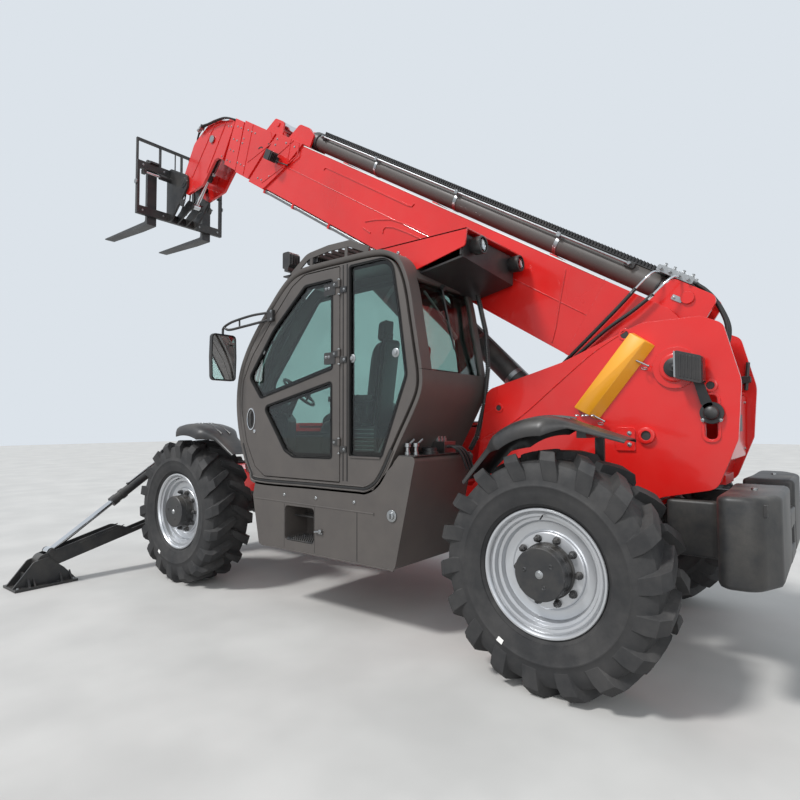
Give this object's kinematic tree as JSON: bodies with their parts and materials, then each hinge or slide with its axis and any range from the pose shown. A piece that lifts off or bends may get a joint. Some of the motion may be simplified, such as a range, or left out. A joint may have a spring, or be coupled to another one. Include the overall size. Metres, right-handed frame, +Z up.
{
  "type": "telehandler",
  "caption": "Telescopic handler with side cab, telescoping boom with pallet forks, all-wheel steering and swing-down front stabilisers.",
  "frame": {"origin": "on the ground at the middle of the overall length and width, with the stabilisers down", "axes": "+X to the machine's left, +Y to its rear, +Z up"},
  "size_m": [4.3004, 7.5202, 4.955],
  "materials": {
    "red_paint": "gloss enamel",
    "grey_paint": "satin textured",
    "black_paint": "satin",
    "silver_paint": "satin",
    "yellow_paint": "gloss",
    "black_plastic": "moulded grain",
    "tyre": "dusty",
    "glass": "tinted",
    "chrome": "polished",
    "cast_iron": "painted casting",
    "seat_fabric": "woven"
  },
  "bodies": {
    "root": {"frame_plates": "red_paint", "frame_crosses": "red_paint", "stabiliser_tower": "black_paint", "axles": "cast_iron", "counterweight": "cast_iron", "boom_lock": "yellow_paint", "cab_shell": "grey_paint", "cab_roof": "grey_paint", "cab_glass": "glass", "seat": "seat_fabric", "steering_column": "black_plastic", "lower_box": "grey_paint", "lamp_canopy": "red_paint", "roof_lamp": "black_plastic", "mirror": "black_plastic", "engine_bay": "red_paint", "engine_block": "cast_iron"},
    "boom_1": {"boom_section_1": "red_paint", "extension_barrel": "black_paint"},
    "boom_2": {"boom_section_2": "red_paint", "extension_rod": "chrome"},
    "boom_3": {"boom_section_3": "red_paint"},
    "boom_4": {"boom_section_4": "red_paint"},
    "carriage": {"fork_carriage": "black_paint", "forks": "black_paint"},
    "tilt_barrel": {"tilt_barrel": "black_paint"},
    "tilt_rod": {"tilt_rod": "chrome"},
    "lift_rod": {"lift_rod": "chrome"},
    "lift_barrel": {"lift_barrel": "black_paint"},
    "cab_door": {"cab_door": "grey_paint", "door_glass": "glass"},
    "engine_hood": {"engine_hood": "red_paint"},
    "knuckle_front_left": {"knuckle_front_left": "cast_iron", "fender_front_left": "black_plastic"},
    "wheel_front_left": {"tyre_front_left": "tyre", "rim_front_left": "silver_paint"},
    "knuckle_front_right": {"knuckle_front_right": "cast_iron", "fender_front_right": "black_plastic"},
    "wheel_front_right": {"tyre_front_right": "tyre", "rim_front_right": "silver_paint"},
    "knuckle_rear_left": {"knuckle_rear_left": "cast_iron", "fender_rear_left": "black_plastic"},
    "wheel_rear_left": {"tyre_rear_left": "tyre", "rim_rear_left": "silver_paint"},
    "knuckle_rear_right": {"knuckle_rear_right": "cast_iron", "fender_rear_right": "black_plastic"},
    "wheel_rear_right": {"tyre_rear_right": "tyre", "rim_rear_right": "silver_paint"},
    "stabiliser_leg_left": {"stabiliser_leg_left": "black_paint"},
    "stabiliser_barrel_left": {"stabiliser_barrel_left": "black_paint"},
    "stabiliser_rod_left": {"stabiliser_rod_left": "chrome"},
    "stabiliser_leg_right": {"stabiliser_leg_right": "black_paint"},
    "stabiliser_barrel_right": {"stabiliser_barrel_right": "black_paint"},
    "stabiliser_rod_right": {"stabiliser_rod_right": "chrome"}
  },
  "joints": [
    {"name": "steer_front_left", "type": "hinge", "parent": "root", "child": "knuckle_front_left", "pos_m": [0.85, -0.65993, 0.625], "axis": [0, 0, 1], "range_deg": [-35, 35]},
    {"name": "roll_front_left", "type": "hinge", "parent": "knuckle_front_left", "child": "wheel_front_left", "pos_m": [1, -0.65993, 0.625], "axis": [1, 0, 0], "continuous": true},
    {"name": "steer_front_right", "type": "hinge", "parent": "root", "child": "knuckle_front_right", "pos_m": [-0.85, -0.65993, 0.625], "axis": [0, 0, 1], "range_deg": [-35.5, 35.5]},
    {"name": "roll_front_right", "type": "hinge", "parent": "knuckle_front_right", "child": "wheel_front_right", "pos_m": [-1, -0.65993, 0.625], "axis": [1, 0, 0], "continuous": true},
    {"name": "steer_rear_left", "type": "hinge", "parent": "root", "child": "knuckle_rear_left", "pos_m": [0.85, 2.76007, 0.625], "axis": [0, 0, 1], "range_deg": [-35, 35]},
    {"name": "roll_rear_left", "type": "hinge", "parent": "knuckle_rear_left", "child": "wheel_rear_left", "pos_m": [1, 2.76007, 0.625], "axis": [1, 0, 0], "continuous": true},
    {"name": "steer_rear_right", "type": "hinge", "parent": "root", "child": "knuckle_rear_right", "pos_m": [-0.85, 2.76007, 0.625], "axis": [0, 0, 1], "range_deg": [-35.5, 35.5]},
    {"name": "roll_rear_right", "type": "hinge", "parent": "knuckle_rear_right", "child": "wheel_rear_right", "pos_m": [-1, 2.76007, 0.625], "axis": [1, 0, 0], "continuous": true},
    {"name": "boom_lift", "type": "hinge", "parent": "root", "child": "boom_1", "pos_m": [0, 3.24007, 1.71], "axis": [-1, 0, 0], "range_deg": [-33.8, 38.2]},
    {"name": "boom_extend", "type": "slide", "parent": "boom_1", "child": "boom_2", "axis": [0, -0.8499, 0.527], "range_m": [0, 3.2]},
    {"name": "extend_3", "type": "slide", "parent": "boom_2", "child": "boom_3", "axis": [0, -0.8499, 0.527], "range_m": [-0.001, 3.201]},
    {"name": "extend_4", "type": "slide", "parent": "boom_3", "child": "boom_4", "axis": [0, -0.8499, 0.527], "range_m": [-0.001, 3.201]},
    {"name": "carriage_tilt", "type": "hinge", "parent": "boom_4", "child": "carriage", "pos_m": [0, -2.27507, 4.35296], "axis": [-1, 0, 0], "range_deg": [-75, 35]},
    {"name": "tilt_barrel_swing", "type": "hinge", "parent": "boom_4", "child": "tilt_barrel", "pos_m": [0, -1.71566, 4.72385], "axis": [-1, 0, 0], "range_deg": [-11.37, 5.3]},
    {"name": "tilt_rod_stroke", "type": "slide", "parent": "tilt_barrel", "child": "tilt_rod", "axis": [0, -0.6868, -0.7269], "range_m": [-0.24196, 0.11292]},
    {"name": "lift_barrel_swing", "type": "hinge", "parent": "boom_1", "child": "lift_barrel", "pos_m": [0, 1.19114, 2.58034], "axis": [-1, 0, 0], "range_deg": [-3.12, 2.76]},
    {"name": "lift_rod_stroke", "type": "slide", "parent": "lift_barrel", "child": "lift_rod", "axis": [0, 0.7114, -0.7028], "range_m": [-0.46383, 0.52421]},
    {"name": "stabiliser_left", "type": "hinge", "parent": "root", "child": "stabiliser_leg_left", "pos_m": [0.55, -1.56993, 0.563], "axis": [0, -1, 0], "range_deg": [-4, 85]},
    {"name": "stabiliser_left_barrel_swing", "type": "hinge", "parent": "root", "child": "stabiliser_barrel_left", "pos_m": [0.7, -1.56993, 1.072], "axis": [0, -1, 0], "range_deg": [-5.11, 108.63]},
    {"name": "stabiliser_left_rod_stroke", "type": "slide", "parent": "stabiliser_barrel_left", "child": "stabiliser_rod_left", "axis": [0.8211, 0, -0.5708], "range_m": [-0.61077, 0.02874]},
    {"name": "stabiliser_right", "type": "hinge", "parent": "root", "child": "stabiliser_leg_right", "pos_m": [-0.55, -1.56993, 0.563], "axis": [0, 1, 0], "range_deg": [-4, 85]},
    {"name": "stabiliser_right_barrel_swing", "type": "hinge", "parent": "root", "child": "stabiliser_barrel_right", "pos_m": [-0.7, -1.56993, 1.072], "axis": [0, 1, 0], "range_deg": [-5.11, 108.63]},
    {"name": "stabiliser_right_rod_stroke", "type": "slide", "parent": "stabiliser_barrel_right", "child": "stabiliser_rod_right", "axis": [-0.8211, 0, -0.5708], "range_m": [-0.61077, 0.02874]},
    {"name": "cab_door", "type": "hinge", "parent": "root", "child": "cab_door", "pos_m": [1.09, 1.24507, 1.7], "axis": [0, 0, 1], "range_deg": [0, 95]},
    {"name": "engine_hood", "type": "hinge", "parent": "root", "child": "engine_hood", "pos_m": [-0.43, 1.02007, 1.39], "axis": [0, 1, 0], "range_deg": [0, 60]}
  ],
  "couplings": [
    {"joint": "steer_front_right", "follows": "steer_front_left", "ratio": 1},
    {"joint": "steer_rear_right", "follows": "steer_rear_left", "ratio": 1},
    {"joint": "extend_3", "follows": "boom_extend", "ratio": 1},
    {"joint": "extend_4", "follows": "boom_extend", "ratio": 1},
    {"joint": "tilt_barrel_swing", "follows": "carriage_tilt", "ratio": 0.14858},
    {"joint": "tilt_rod_stroke", "follows": "carriage_tilt", "m_per_rad": 0.18122},
    {"joint": "lift_barrel_swing", "follows": "boom_lift", "ratio": -0.08},
    {"joint": "lift_rod_stroke", "follows": "boom_lift", "m_per_rad": 0.77085},
    {"joint": "stabiliser_left_barrel_swing", "follows": "stabiliser_left", "ratio": 1.2529},
    {"joint": "stabiliser_left_rod_stroke", "follows": "stabiliser_left", "m_per_rad": -0.40363},
    {"joint": "stabiliser_right_barrel_swing", "follows": "stabiliser_right", "ratio": 1.2529},
    {"joint": "stabiliser_right_rod_stroke", "follows": "stabiliser_right", "m_per_rad": -0.40363}
  ]
}
